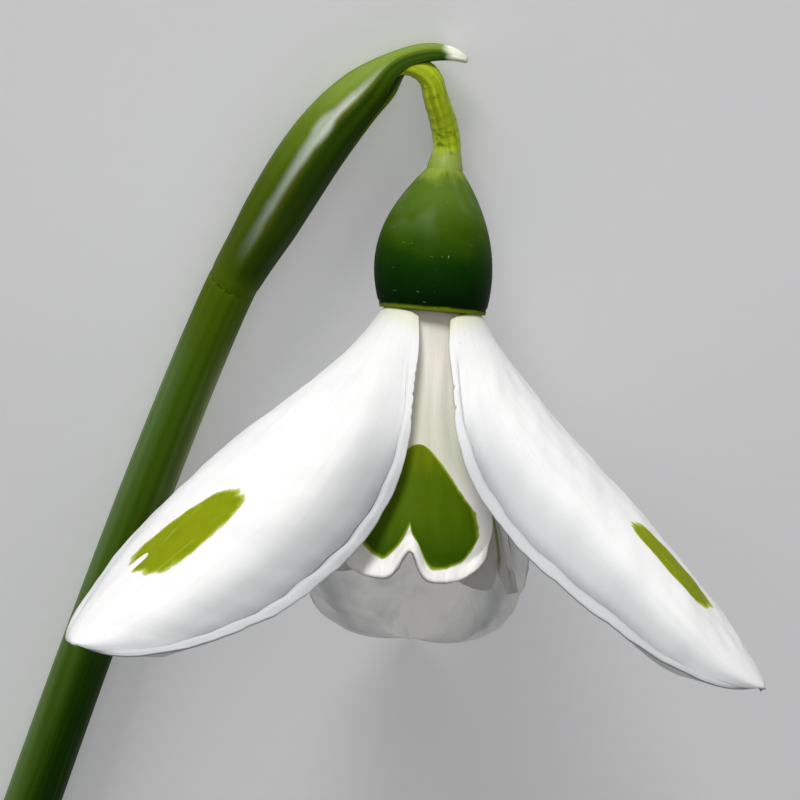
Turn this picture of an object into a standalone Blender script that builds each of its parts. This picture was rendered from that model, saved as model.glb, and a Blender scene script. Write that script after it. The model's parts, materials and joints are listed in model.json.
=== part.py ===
"""A snowdrop flower, picked and laid on a flat surface at z = 0.

The scape and the spathe lie along the surface. The nodding flower head hangs from the pedicel,
turned so that its mouth points up a little, and its back tepal rests on the surface.
All lengths below are in millimetres and all angles in degrees; MM turns a length into metres.
"""

from math import cos, exp, pi, radians, sin, sqrt

import bmesh
import bpy
import numpy as np
from mathutils import Matrix, Vector

MM = 0.001

# ---- How the flower lies ----
HEAD_RISE = 34.0  # the mouth of the flower points this far above the surface
HEAD_LEAN = 5.0  # and this far towards -X, seen from above
SEAT_GAP = 0.15  # room left between two pieces that touch
SCAPE_GAP = 0.4  # the same, below the slanting foot of the spathe

# ---- Scape and spathe: one centre line along the surface ----
# A heading is measured from +X towards +Y. Places are measured from the middle of the ovary's base.
SPATHE_FOOT = (-11.1, -2.2)  # where the scape passes into the spathe
SCAPE_LENGTH = 57.5
SPATHE_LENGTH = 21.1
CUT_HEADING, FOOT_HEADING, TIP_HEADING = 73.5, 63.0, -15.0
SCAPE_BEND = 0.2  # below 1, the scape bends mostly near its top
SPATHE_CURL = 4.5  # above 1, the spathe bends more and more towards its tip
CUT_RADIUS, SCAPE_TOP_RADIUS = 1.7, 1.35
SPATHE_STOPS = (0.0, 0.25, 0.6, 0.8, 0.93, 1.0)
SPATHE_RADII = (1.4, 1.7, 1.4, 1.15, 1.0, 0.5)
SPATHE_TIP_HEIGHT = 1.5  # the centre line of the spathe never comes lower than this near its tip
SPATHE_WALL = 0.25
SLIT_SIDE = 150.0  # where the spathe is open, round from its keel over the top
SLIT_STOPS = (0.0, 0.6, 0.75, 0.83, 0.9, 1.0)
SLIT_HALF_ANGLES = (6.0, 12.0, 30.0, 84.0, 95.0, 92.0)
SPATHE_ROWS, SPATHE_COLUMNS = 20, 16
STALK_STEPS = 80
DIRECTION_STEP = 0.05
SCAPE_SPACING, PEDICEL_SPACING = 3.0, 0.6  # from one ring of points to the next
STEM_DETAIL = 4  # gives a stem 12 sides

# ---- Pedicel: up inside the spathe, over in a round arch, then down to the ovary ----
PEDICEL_START, PEDICEL_LEAVES = 0.3, 15.8  # distances along the spathe
PEDICEL_INNER_POINTS, PEDICEL_ARCH_POINTS = 5, 5
ARCH_CENTRE = (-1.4, 10.8)
ARCH_RADIUS = 1.5
ARCH_START, ARCH_END = 115.0, 0.0  # angles round the arch's centre
ARCH_HEIGHTS = (1.65, 2.25)
PEDICEL_RADII = (0.6, 0.7)  # inside the spathe and at the end of the arch
PEDICEL_END_RADIUS = 0.8
PEDICEL_STRAIGHT_END = 0.9  # its last stretch runs in line with the ovary

# ---- Ovary: it swells a little from its base and narrows in a curve to its neck ----
OVARY_HEIGHT = 8.1
OVARY_RADIUS = 3.3
OVARY_WIDEST = 2.3  # height of its widest place above its base
OVARY_BASE_RADIUS = 2.95
OVARY_NECK_RADIUS = 0.8
OVARY_RINGS = 12
OVARY_SWAY = 0.2  # its middle swells this far to -X

# ---- Tepals. Each bends along its midrib and across it ----
# The stops run from 0 at the foot to 1 at the tip. They go with a tepal's spread, which is how far its
# midrib stands out from the flower's axis, its bend, which is how far half of its cross-section curves
# round, and its twist. Half widths are measured along the surface.
TEPAL_THICKNESS = 0.4
TEPAL_FOOT_DROP = 0.28  # from the ovary's base to the middle of a tepal's foot
SPREAD_STOPS = (0.0, 0.4, 1.0)
BEND_STOPS = (0.0, 0.3, 0.7, 1.0)
TWIST_STOPS = (0.0, 0.3, 1.0)
FLARE_START = 0.72  # the margins turn outward from here across the half width
NOTCH_HALF_WIDTH = 0.22
CORNER_ROUNDING = 5
MIDRIB_STEPS = 60
TIP_BLUNTNESS = 2.5  # 2 gives an oval, more a squarer end
TIP_HALF_WIDTH = 0.35
OUTER_TEPAL = {
    "length": 27.0,
    "foot_radius": 2.6,
    "foot_half_width": 1.5,
    "greatest_half_width": 8.0,
    "widest_at": 0.45,
    "bend": (50.0, 70.0, 60.0, 50.0),
    "flare": 0.5,
    "notch": 0.0,
    "corner": 0.0,
    "rows": 18,
    "columns": 10,
}
OUTER_TURN = 3.0  # azimuth that the left and right outer tepals stand 60 to each side of
OUTER_TEPALS = {
    "outer_tepal_left": {
        "azimuth": OUTER_TURN - 60,
        "spread": (35.0, 45.0, 45.0),
        "twist": (0.0, -20.0, -10.0),
    },
    "outer_tepal_right": {
        "azimuth": OUTER_TURN + 60,
        "spread": (40.0, 50.0, 40.0),
        "twist": (0.0, 0.0, 0.0),
        "greatest_half_width": 8.5,
    },
    "outer_tepal_back": {
        "azimuth": 179.0,
        "spread": (36.0, 46.0, 52.0),
        "twist": (0.0, 0.0, 0.0),
        "greatest_half_width": 7.8,
        "bend": (50.0, 65.0, 50.0, 40.0),
    },
}
INNER_TEPAL = {
    "length": 15.2,
    "foot_radius": 1.85,
    "width_stops": (0.0, 0.35, 0.6, 0.85, 1.0),
    "half_widths": (1.7, 2.0, 3.4, 4.9, 4.6),
    "greatest_half_width": 4.9,
    "bend": (50.0, 48.0, 50.0, 46.0),
    "flare": 0.35,
    "notch": 0.12,
    "corner": 0.10,
    "spread": (2.0, 20.0, 8.0),
    "twist": (0.0, 0.0, 0.0),
    "rows": 12,
    "columns": 12,
}
INNER_AZIMUTHS = {"inner_tepal_front": -1.0, "inner_tepal_left": -121.0, "inner_tepal_right": 119.0}

# ---- Stamens and style, inside the cup of the inner tepals ----
STAMEN_COUNT = 6
STAMEN_SIDES, ANTHER_SIDES, STYLE_SIDES, OVARY_SIDES = 8, 10, 10, 24
SHARP_ANGLE = 40.0
STAMEN_RING_RADIUS = 1.02
STAMEN_TILT = 1.5
FILAMENT_LENGTH = 1.3
FILAMENT_RADIUS, FILAMENT_TOP_RADIUS = 0.16, 0.13
ANTHER_PROFILE = ((0.0, 0.18), (0.5, 0.38), (1.8, 0.43), (3.6, 0.34), (5.0, 0.14), (5.6, 0.05))
STYLE_PROFILE = ((0.0, 0.26), (2.5, 0.22), (5.5, 0.26), (7.6, 0.20), (8.4, 0.08))

# ---- Materials: base colour and roughness ----
FINISHES = {
    "scape_green": ((0.13, 0.19, 0.09), 0.5),
    "spathe_green": ((0.08, 0.16, 0.03), 0.45),
    "pedicel_green": ((0.40, 0.50, 0.04), 0.45),
    "ovary_green": ((0.03, 0.12, 0.01), 0.35),
    "outer_tepal_white": ((0.86, 0.86, 0.84), 0.55),
    "inner_tepal_white": ((0.80, 0.80, 0.74), 0.55),
    "filament_white": ((0.75, 0.78, 0.62), 0.5),
    "anther_orange": ((0.80, 0.42, 0.04), 0.6),
    "style_white": ((0.72, 0.78, 0.55), 0.5),
}


def clear_scene():
    for old in list(bpy.data.objects):
        bpy.data.objects.remove(old, do_unlink=True)


def finish(name):
    """A plain material with the colour and roughness of its line in FINISHES."""
    colour, roughness = FINISHES[name]
    material = bpy.data.materials.new(name)
    material.use_nodes = True
    shader = material.node_tree.nodes["Principled BSDF"]
    shader.inputs["Base Color"].default_value = (*colour, 1.0)
    shader.inputs["Roughness"].default_value = roughness
    shader.inputs["Metallic"].default_value = 0.0
    return material


def value_at(place, stops, values):
    """Reads a smooth curve that passes through each value at its stop."""
    slopes = np.gradient(values, stops)
    i = int(np.clip(np.searchsorted(stops, place) - 1, 0, len(stops) - 2))
    width = stops[i + 1] - stops[i]
    t = (place - stops[i]) / width
    start = (2 * t**3 - 3 * t**2 + 1) * values[i] + (t**3 - 2 * t**2 + t) * width * slopes[i]
    end = (3 * t**2 - 2 * t**3) * values[i + 1] + (t**3 - t**2) * width * slopes[i + 1]
    return start + end


class Route:
    """A smooth line through a few points of x, y, z and radius."""

    def __init__(self, points):
        self.values = np.array(points, float)
        legs = np.linalg.norm(np.diff(self.values[:, :3], axis=0), axis=1)
        self.stops = np.concatenate([[0.0], np.cumsum(legs)])
        self.length = float(self.stops[-1])

    def at(self, distance):
        x, y, z, radius = (value_at(distance, self.stops, column) for column in self.values.T)
        return Vector((x, y, z)), radius

    def direction(self, distance):
        ahead, behind = self.at(distance + DIRECTION_STEP), self.at(distance - DIRECTION_STEP)
        return (ahead[0] - behind[0]).normalized()


def new_object(name, data, material, parent):
    part = bpy.data.objects.new(name, data)
    bpy.context.scene.collection.objects.link(part)
    data.materials.append(material)
    part.parent = parent
    return part


def round_stem(name, route, start, end, spacing, material, parent):
    """A solid round stem along the route, with a flat cap at each end."""
    count = max(3, round((end - start) / spacing) + 1)
    curve = bpy.data.curves.new(name, "CURVE")
    curve.dimensions = "3D"
    curve.bevel_depth = MM
    curve.bevel_resolution = STEM_DETAIL
    curve.use_fill_caps = True
    spline = curve.splines.new("POLY")
    spline.points.add(count - 1)
    for point, distance in zip(spline.points, np.linspace(start, end, count)):
        centre, radius = route.at(distance)
        point.co = (*(centre * MM), 1.0)
        point.radius = radius
    spline.use_smooth = True
    return new_object(name, curve, material, parent)


def bent_sheet(name, rows, columns, place, thickness, material, parent):
    """A thin closed sheet: a flat grid moved by place(s, t), with s from 0 to 1 and t from -1 to 1."""
    mesh = bpy.data.meshes.new(name)
    grid = bmesh.new()
    bmesh.ops.create_grid(grid, x_segments=columns, y_segments=rows, size=1.0)
    for vertex in grid.verts:
        vertex.co = place((vertex.co.y + 1) / 2, vertex.co.x) * MM
    grid.to_mesh(mesh)
    grid.free()
    mesh.shade_smooth()
    sheet = new_object(name, mesh, material, parent)
    solidify = sheet.modifiers.new("thickness", "SOLIDIFY")
    solidify.thickness = thickness * MM
    solidify.offset = 0.0
    solidify.use_even_offset = True
    return sheet


def turned_mesh(name, profile, segments):
    """A closed round mesh spun from (height, radius) pairs about Z."""
    mesh = bpy.data.meshes.new(name)
    turned = bmesh.new()
    rim = [turned.verts.new((radius * MM, 0.0, height * MM)) for height, radius in profile]
    foot = turned.verts.new((0.0, 0.0, profile[0][0] * MM))
    top = turned.verts.new((0.0, 0.0, profile[-1][0] * MM))
    outline = [foot, *rim, top]
    edges = [turned.edges.new(pair) for pair in zip(outline, outline[1:])]
    bmesh.ops.spin(turned, geom=outline + edges, axis=(0, 0, 1), cent=(0, 0, 0), angle=2 * pi,
                   steps=segments, use_merge=True)
    bmesh.ops.remove_doubles(turned, verts=turned.verts, dist=0.001 * MM)
    bmesh.ops.recalc_face_normals(turned, faces=turned.faces)
    turned.to_mesh(mesh)
    turned.free()
    mesh.shade_smooth()
    mesh.set_sharp_from_angle(angle=radians(SHARP_ANGLE))
    return mesh


def midrib(shape, s):
    """Radius from the flower's axis and drop below the ovary of the midrib at s, and its spread there."""
    radius, drop = shape["foot_radius"], TEPAL_FOOT_DROP
    step = shape["length"] * s / MIDRIB_STEPS
    for k in range(MIDRIB_STEPS):
        spread = radians(value_at(s * (k + 0.5) / MIDRIB_STEPS, SPREAD_STOPS, shape["spread"]))
        radius += sin(spread) * step
        drop += cos(spread) * step
    return radius, drop, radians(value_at(s, SPREAD_STOPS, shape["spread"]))


def outer_half_width(shape, s):
    """Swells in a quarter wave from the foot to the widest place, then rounds off to a blunt tip."""
    foot, greatest = shape["foot_half_width"], shape["greatest_half_width"]
    widest_at = shape["widest_at"]
    if s < widest_at:
        return foot + (greatest - foot) * sin(pi / 2 * s / widest_at)
    past = (s - widest_at) / (1 - widest_at)
    return max(TIP_HALF_WIDTH, greatest * sqrt(max(0.0, 1 - past**TIP_BLUNTNESS)))


def inner_half_width(shape, s):
    """A narrow claw that widens into the bell."""
    return value_at(s, shape["width_stops"], shape["half_widths"])


def tepal_place(shape, half_width_at):
    """Gives place(s, t): a point of a tepal that hangs below the ovary, spread towards -Y."""

    def place(s, t):
        notch = shape["notch"] * exp(-((t / NOTCH_HALF_WIDTH) ** 2))
        corner = shape["corner"] * abs(t) ** CORNER_ROUNDING
        along = s * (1 - notch - corner)
        radius, drop, spread = midrib(shape, along)
        out = Vector((0, -cos(spread), sin(spread)))
        turn = radians(value_at(along, TWIST_STOPS, shape["twist"]))
        across = Vector((cos(turn), 0, 0)) + out * sin(turn)
        out = out * cos(turn) - Vector((sin(turn), 0, 0))
        half_width = half_width_at(shape, s)
        bend = radians(value_at(along, BEND_STOPS, shape["bend"]))
        sideways = half_width / bend * sin(bend * t)
        inward = half_width / bend * (1 - cos(bend * t))
        margin = max(0.0, (abs(t) - FLARE_START) / (1 - FLARE_START))
        flare = shape["flare"] * half_width / shape["greatest_half_width"] * margin**2
        return Vector((0, -radius, -drop)) + across * sideways + out * (flare - inward)

    return place


def make_tepal(name, shape, half_width_at, azimuth, material, head):
    place = tepal_place(shape, half_width_at)
    sheet = bent_sheet(name, shape["rows"], shape["columns"], place, TEPAL_THICKNESS, material, head)
    sheet.rotation_euler.z = radians(azimuth)


def solid_points(part, turn):
    """The points of a part's finished surface, turned."""
    bpy.context.view_layer.update()
    solid = part.evaluated_get(bpy.context.evaluated_depsgraph_get())
    points = [turn @ solid.matrix_world @ vertex.co for vertex in solid.to_mesh().vertices]
    solid.to_mesh_clear()
    return points


def flower_head(root):
    """The empty that carries the head, its origin at the middle of the ovary's base."""
    head = bpy.data.objects.new("flower_head", None)
    bpy.context.scene.collection.objects.link(head)
    head.parent = root
    return head


def head_turn():
    """Turns the head from hanging straight down to how it lies."""
    rise = Matrix.Rotation(radians(-HEAD_RISE), 4, "X")
    lean = Matrix.Rotation(radians(-HEAD_LEAN), 4, "Z")
    return rise @ lean @ Matrix.Rotation(radians(-90), 4, "X")


def make_tepals(head):
    white = finish("outer_tepal_white")
    cream = finish("inner_tepal_white")
    for name, pose in OUTER_TEPALS.items():
        make_tepal(name, {**OUTER_TEPAL, **pose}, outer_half_width, pose["azimuth"], white, head)
    for name, azimuth in INNER_AZIMUTHS.items():
        make_tepal(name, INNER_TEPAL, inner_half_width, azimuth, cream, head)


def ovary_radius(height):
    """The ovary's radius at a height: two curves that meet at its widest place."""
    if height < OVARY_WIDEST:
        below = 1 - height / OVARY_WIDEST
        return OVARY_RADIUS - (OVARY_RADIUS - OVARY_BASE_RADIUS) * below**2
    above = (height - OVARY_WIDEST) / (OVARY_HEIGHT - OVARY_WIDEST)
    return OVARY_RADIUS - (OVARY_RADIUS - OVARY_NECK_RADIUS) * above**2


def make_ovary(head):
    profile = [(height, ovary_radius(height)) for height in np.linspace(0.0, OVARY_HEIGHT, OVARY_RINGS)]
    mesh = turned_mesh("ovary", profile, OVARY_SIDES)
    for vertex in mesh.vertices:
        vertex.co.x -= OVARY_SWAY * MM * sin(pi * vertex.co.z / (OVARY_HEIGHT * MM))
    new_object("ovary", mesh, finish("ovary_green"), head)


def make_stamens(head):
    pale = finish("filament_white")
    orange = finish("anther_orange")
    filament_profile = ((0.0, FILAMENT_RADIUS), (FILAMENT_LENGTH, FILAMENT_TOP_RADIUS))
    filament_mesh = turned_mesh("filament", filament_profile, STAMEN_SIDES)
    anther_mesh = turned_mesh("anther", ANTHER_PROFILE, ANTHER_SIDES)
    for k in range(STAMEN_COUNT):
        turn = Matrix.Rotation(2 * pi * k / STAMEN_COUNT, 4, "Z")
        seat = Matrix.Translation((STAMEN_RING_RADIUS * MM, 0, -SEAT_GAP * MM))
        tilt = Matrix.Rotation(radians(180 - STAMEN_TILT), 4, "Y")
        filament = new_object(f"filament_{k + 1}", filament_mesh, pale, head)
        filament.matrix_local = turn @ seat @ tilt
        anther = new_object(f"anther_{k + 1}", anther_mesh, orange, head)
        end = Matrix.Translation((0, 0, (FILAMENT_LENGTH + SEAT_GAP) * MM))
        anther.matrix_local = turn @ seat @ tilt @ end


def make_style(head):
    pale = finish("style_white")
    style = new_object("style", turned_mesh("style", STYLE_PROFILE, STYLE_SIDES), pale, head)
    style.location.z = -SEAT_GAP * MM
    style.rotation_euler.x = pi


def stalk_heading(distance):
    """Heading of the centre line at a distance past the foot of the spathe; the scape lies before it."""
    if distance < 0:
        return FOOT_HEADING + (CUT_HEADING - FOOT_HEADING) * (-distance / SCAPE_LENGTH) ** SCAPE_BEND
    return FOOT_HEADING + (TIP_HEADING - FOOT_HEADING) * (distance / SPATHE_LENGTH) ** SPATHE_CURL


def stalk_radius(distance):
    if distance < 0:
        return SCAPE_TOP_RADIUS + (CUT_RADIUS - SCAPE_TOP_RADIUS) * -distance / SCAPE_LENGTH
    return value_at(distance / SPATHE_LENGTH, SPATHE_STOPS, SPATHE_RADII)


def stalk_route():
    """The shared centre line of the scape and the spathe, lying on the surface."""
    distances = np.linspace(-SCAPE_LENGTH, SPATHE_LENGTH, STALK_STEPS + 1)
    step = distances[1] - distances[0]
    headings = [radians(stalk_heading(distance + step / 2)) for distance in distances[:-1]]
    x = np.concatenate([[0.0], np.cumsum(np.cos(headings)) * step])
    y = np.concatenate([[0.0], np.cumsum(np.sin(headings)) * step])
    x += SPATHE_FOOT[0] - np.interp(0.0, distances, x)
    y += SPATHE_FOOT[1] - np.interp(0.0, distances, y)
    radii = [stalk_radius(distance) for distance in distances]
    heights = [max(r, SPATHE_TIP_HEIGHT) if d > 0 else r for d, r in zip(distances, radii)]
    return Route(list(zip(x, y, heights, radii)))


def make_scape(route, foot, root):
    green = finish("scape_green")
    round_stem("scape", route, 0.0, foot - SCAPE_GAP, SCAPE_SPACING, green, root)


def make_spathe(route, foot, root):
    """A sheath rolled round the pedicel, open along one side and widely so near its tip."""
    green = finish("spathe_green")
    length = route.length - foot

    def place(s, t):
        distance = foot + s * length
        centre, radius = route.at(distance)
        along = route.direction(distance)
        keel = Vector((0, 0, 1)).cross(along).normalized()
        above = along.cross(keel)
        opening = value_at(s, SLIT_STOPS, SLIT_HALF_ANGLES)
        angle = radians(SLIT_SIDE + 180 + t * (180 - opening))
        middle = radius - SPATHE_WALL / 2
        return centre + (keel * cos(angle) + above * sin(angle)) * middle

    bent_sheet("spathe", SPATHE_ROWS, SPATHE_COLUMNS, place, SPATHE_WALL, green, root)


def pedicel_points(route, foot):
    """Along the middle of the spathe, then round the arch."""
    inner_radius, arch_radius = PEDICEL_RADII
    points = []
    for distance in np.linspace(PEDICEL_START, PEDICEL_LEAVES, PEDICEL_INNER_POINTS):
        points.append((*route.at(foot + distance)[0], inner_radius))
    for part in np.linspace(0.0, 1.0, PEDICEL_ARCH_POINTS):
        angle = radians(ARCH_START + (ARCH_END - ARCH_START) * part)
        x, y = ARCH_CENTRE[0] + ARCH_RADIUS * cos(angle), ARCH_CENTRE[1] + ARCH_RADIUS * sin(angle)
        height = ARCH_HEIGHTS[0] + (ARCH_HEIGHTS[1] - ARCH_HEIGHTS[0]) * part
        points.append((x, y, height, inner_radius + (arch_radius - inner_radius) * part))
    return points


def make_pedicel(route, foot, head_place, root):
    top = OVARY_HEIGHT + SEAT_GAP
    points = pedicel_points(route, foot)
    for above in (PEDICEL_STRAIGHT_END, 0.0):
        spot = head_place @ Vector((0, 0, (top + above) * MM)) / MM
        points.append((*spot, PEDICEL_END_RADIUS))
    line = Route(points)
    round_stem("pedicel", line, 0.0, line.length, PEDICEL_SPACING, finish("pedicel_green"), root)


def settle_on_origin(root):
    """Brings the middle of the object's footprint to the origin and its lowest point to z = 0."""
    parts = [part for part in bpy.data.objects if part.type != "EMPTY"]
    points = [point for part in parts for point in solid_points(part, Matrix())]
    for axis in (0, 1):
        side = [point[axis] for point in points]
        root.location[axis] = -(min(side) + max(side)) / 2
    root.location.z = -min(point.z for point in points)


def build():
    clear_scene()
    root = bpy.data.objects.new("snowdrop", None)
    bpy.context.scene.collection.objects.link(root)
    head = flower_head(root)
    make_tepals(head)
    make_ovary(head)
    make_stamens(head)
    make_style(head)
    turn = head_turn()
    height = -min(point.z for point in solid_points(bpy.data.objects["outer_tepal_back"], turn))
    head_place = Matrix.Translation((0, 0, height)) @ turn
    head.matrix_local = head_place
    route = stalk_route()
    foot = SCAPE_LENGTH
    make_scape(route, foot, root)
    make_spathe(route, foot, root)
    make_pedicel(route, foot, head_place, root)
    settle_on_origin(root)
    print(f"ovary base stands {height / MM:.2f} mm above the surface")


build()
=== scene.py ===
# %% [markdown]
# # A snowdrop, cut and laid on a table
# A snowdrop is a thin scape, a sheath called the spathe, an arched pedicel, a green ovary and two
# rings of three tepals. Nothing on it is flat or straight. It could be sculpted by hand, but every
# piece here follows a simple rule of growth, so each one is a flat grid bent by a short formula.
# A bent grid also keeps its own map, and the veins and green marks can follow the tissue.

# %% Load the model that everything is built around
import json
from math import cos, pi, radians, sin

import bmesh
import bpy
import numpy as np
from mathutils import Matrix, Vector

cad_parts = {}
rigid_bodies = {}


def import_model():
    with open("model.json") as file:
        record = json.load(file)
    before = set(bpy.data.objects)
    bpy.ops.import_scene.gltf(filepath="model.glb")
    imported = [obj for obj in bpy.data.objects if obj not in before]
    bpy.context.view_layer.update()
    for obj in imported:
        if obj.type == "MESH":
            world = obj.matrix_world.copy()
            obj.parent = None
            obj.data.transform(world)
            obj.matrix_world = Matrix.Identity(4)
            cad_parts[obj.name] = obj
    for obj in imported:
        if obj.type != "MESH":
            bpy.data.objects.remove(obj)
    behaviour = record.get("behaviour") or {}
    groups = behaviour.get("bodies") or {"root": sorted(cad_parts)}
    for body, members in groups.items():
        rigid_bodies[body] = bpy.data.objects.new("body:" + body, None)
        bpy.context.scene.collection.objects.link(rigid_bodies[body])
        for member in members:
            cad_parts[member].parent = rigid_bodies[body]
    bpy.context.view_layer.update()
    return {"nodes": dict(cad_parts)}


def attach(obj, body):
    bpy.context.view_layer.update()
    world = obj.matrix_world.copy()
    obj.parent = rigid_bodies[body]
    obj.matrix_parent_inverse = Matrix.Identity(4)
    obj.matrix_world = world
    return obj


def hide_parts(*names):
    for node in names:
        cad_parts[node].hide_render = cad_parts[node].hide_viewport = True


for leftover in list(bpy.data.objects):
    bpy.data.objects.remove(leftover, do_unlink=True)
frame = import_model()
MM = 0.001
print("pieces in the frame:", len(frame["nodes"]))

# %% [markdown]
# ## Where the flower head is
# The head nods from its pedicel, and lying down it points its mouth a little upward. The middle
# of the ovary's base is the natural origin for it: all tepals hang from there. Measuring that
# point on the frame's own ovary is safer than typing it in, because it can't drift apart.

# %% Find the origin and the direction of the head
HEAD_RISE, HEAD_LEAN = 34.0, 5.0
HEAD_TURN = (
    Matrix.Rotation(radians(-HEAD_RISE), 3, "X")
    @ Matrix.Rotation(radians(-HEAD_LEAN), 3, "Z")
    @ Matrix.Rotation(radians(-90), 3, "X")
)
SAME_PLANE = 2e-6


def ovary_base_centre():
    """The mean of the ovary's corners that lie in the plane of its base."""
    axis = HEAD_TURN @ Vector((0, 0, 1))
    corners = [vertex.co.copy() for vertex in frame["nodes"]["ovary"].data.vertices]
    lowest = min(corner.dot(axis) for corner in corners)
    base = [corner for corner in corners if corner.dot(axis) - lowest < SAME_PLANE]
    sides = [[corner[k] for corner in base] for k in range(3)]
    return Vector([(min(side) + max(side)) / 2 for side in sides])


HEAD_ORIGIN = ovary_base_centre()
print("ovary base (mm):", [round(value / MM, 2) for value in HEAD_ORIGIN])


# %% Turn lengths in millimetres on the head into places in the scene
def on_head(points, azimuth=0.0):
    """Places of an (n, 3) array of head points, first turned about the flower's axis."""
    turn = HEAD_TURN @ Matrix.Rotation(radians(azimuth), 3, "Z")
    return np.array(HEAD_ORIGIN) + points @ np.array(turn).T * MM


# %% [markdown]
# ## Smooth curves through a few values
# A petal's width or bend changes gently along its length. A handful of values with a smooth
# curve through them says that clearly, and it is easy to change by hand.

# %% A smooth curve, and soft waves for small unevenness
def smooth_curve(place, stops, values):
    """Reads a smooth curve through each value at its stop. place may be an array."""
    place = np.asarray(place, float)
    stops, values = np.array(stops, float), np.array(values, float)
    slopes = np.gradient(values, stops)
    i = np.clip(np.searchsorted(stops, place) - 1, 0, len(stops) - 2)
    width = stops[i + 1] - stops[i]
    t = (place - stops[i]) / width
    start = (2 * t**3 - 3 * t**2 + 1) * values[i] + (t**3 - 2 * t**2 + t) * width * slopes[i]
    end = (3 * t**2 - 2 * t**3) * values[i + 1] + (t**3 - t**2) * width * slopes[i + 1]
    return start + end


def soft_waves(a, b, seed):
    """Smooth unevenness between about -1 and 1, the same on each run for the same seed."""
    rng = np.random.default_rng(seed)
    total = np.zeros(np.shape(a))
    for octave in range(4):
        fa, fb = rng.uniform(1.0, 3.0, 2) * 1.7**octave
        total = total + np.sin(fa * a + fb * b + rng.uniform(0, 2 * pi)) / 1.5**octave
    return total / 2.4


def ridge(place, centre, width):
    """A smooth bump, 1 at its centre."""
    return np.exp(-(((place - centre) / width) ** 2))


def ease(place, low, high):
    """0 up to low, 1 from high on, smooth between them."""
    t = np.clip((place - low) / (high - low), 0, 1)
    return t * t * (3 - 2 * t)


print("curve at the middle:", round(float(smooth_curve(0.5, (0, 1), (0, 1))), 2))


# %% [markdown]
# ## Bending a grid
# create_grid makes the faces and, with calc_uvs, a map of them. Moving its corners keeps that map,
# so a pattern that is straight on the map follows the piece round every bend. A grid whose two
# long sides meet becomes a tube once its doubles are merged.

# %% Helpers for grids and finished pieces
def bent_grid(rows, columns, place, tube=False, flip=False):
    """A grid moved to place(s, t), with s from 0 to 1 along it and t from -1 to 1 across it."""
    grid = bmesh.new()
    grid.loops.layers.uv.new("UVMap")
    bmesh.ops.create_grid(grid, x_segments=columns, y_segments=rows, size=1.0, calc_uvs=True)
    flat = np.array([vertex.co for vertex in grid.verts])
    for vertex, spot in zip(grid.verts, place((flat[:, 1] + 1) / 2, flat[:, 0])):
        vertex.co = spot
    if tube:
        bmesh.ops.remove_doubles(grid, verts=grid.verts, dist=0.001 * MM)
        bmesh.ops.holes_fill(grid, edges=grid.edges, sides=0)
        bmesh.ops.recalc_face_normals(grid, faces=grid.faces)
    if flip:
        bmesh.ops.reverse_faces(grid, faces=grid.faces)
    return grid


SHARP_EDGE = 50.0


def put_in_scene(name, data):
    """An object with this mesh, lamp or camera in it."""
    made = bpy.data.objects.new(name, data)
    bpy.context.scene.collection.objects.link(made)
    return made


def mesh_of(name, shape, materials):
    """Turns a bmesh into a mesh with its materials."""
    mesh = bpy.data.meshes.new(name)
    shape.to_mesh(mesh)
    shape.free()
    for material in materials:
        mesh.materials.append(material)
    return mesh


def piece(name, shape, materials, slot, *nodes):
    """Makes the object, hides the frame's pieces that it stands for, and hangs it on the body that it rides
    on.
    """
    mesh = mesh_of(name, shape, materials)
    mesh.shade_smooth()
    mesh.set_sharp_from_angle(angle=radians(SHARP_EDGE))
    made = put_in_scene(name, mesh)
    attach(made, "root")
    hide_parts(*nodes)
    print(name, len(mesh.polygons), "faces")
    return made


def thicken(sheet, thickness, weights=None, thinnest=1.0):
    """Gives a sheet its wall. With weights, the wall thins towards where they are 0."""
    solidify = sheet.modifiers.new("wall", "SOLIDIFY")
    solidify.thickness = thickness * MM
    solidify.offset = 0.0
    if len(sheet.data.materials) > 1:
        solidify.material_offset = 1
    if weights is not None:
        group = sheet.vertex_groups.new(name="wall")
        for index, weight in enumerate(weights):
            group.add([index], float(weight), "REPLACE")
        solidify.vertex_group = "wall"
        solidify.thickness_vertex_group = thinnest


# %% [markdown]
# ## Building materials from nodes
# A living surface is never one colour. Each finish below mixes a few colours by masks that are
# worked out from the piece's own map. A small class keeps the node work short enough to read.

# %% Short ways to place and join nodes
NOISE_ROUGHNESS = 0.55


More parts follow.
